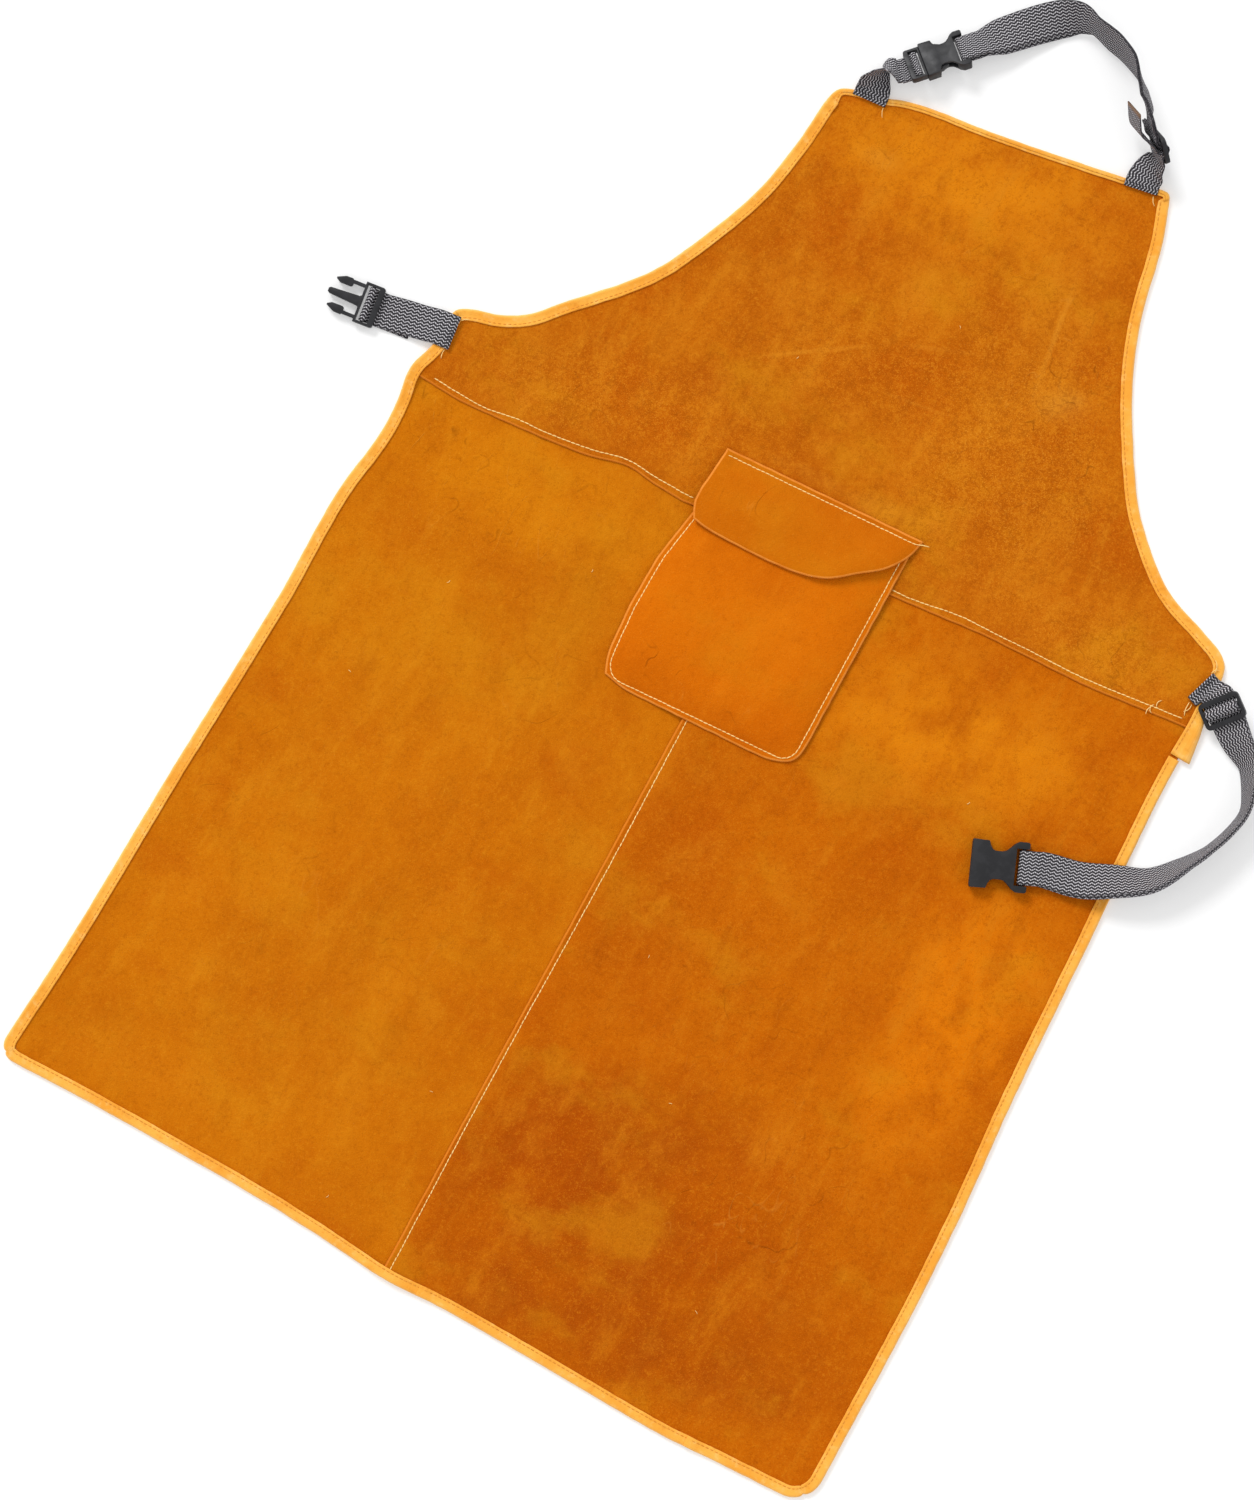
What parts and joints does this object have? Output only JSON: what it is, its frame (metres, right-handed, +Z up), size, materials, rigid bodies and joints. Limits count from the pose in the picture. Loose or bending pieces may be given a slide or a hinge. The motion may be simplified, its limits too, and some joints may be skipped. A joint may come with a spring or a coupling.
{
  "type": "welding apron",
  "caption": "Suede leather welding apron lying flat on its back, with bib, seamed skirt, patch pocket with flap, bound edges and webbing neck and waist straps with side-release buckles.",
  "frame": {"origin": "where the centre seam meets the waist seam, on the flat underside of the left skirt panel, which lies on the surface", "axes": "+X across the apron to the right as seen from above, +Y from the hem up to the bib, +Z up out of the face"},
  "size_m": [0.8124, 1.1196, 0.0468],
  "materials": {
    "leather_bib": "suede, brown-orange",
    "leather_left": "suede, ochre",
    "leather_right": "suede, red-brown",
    "leather_pocket": "smooth suede, orange",
    "tape": "golden binding tape",
    "webbing": "grey herringbone webbing",
    "plastic": "moulded black plastic"
  },
  "bodies": {
    "root": {"skirt_left": "leather_left", "skirt_right": "leather_right", "bib": "leather_bib", "pocket": "leather_pocket", "pocket_flap": "leather_pocket", "binding_side_left": "tape", "binding_hem": "tape", "binding_side_right": "tape", "binding_armhole_right": "tape", "binding_top": "tape", "binding_armhole_left": "tape", "neck_tab_left": "webbing", "neck_strap": "webbing", "waist_tab_left": "webbing", "waist_strap_right": "webbing", "neck_plug": "plastic", "neck_socket": "plastic", "neck_slider": "plastic", "waist_plug": "plastic", "waist_slider": "plastic", "waist_socket": "plastic"}
  },
  "joints": []
}
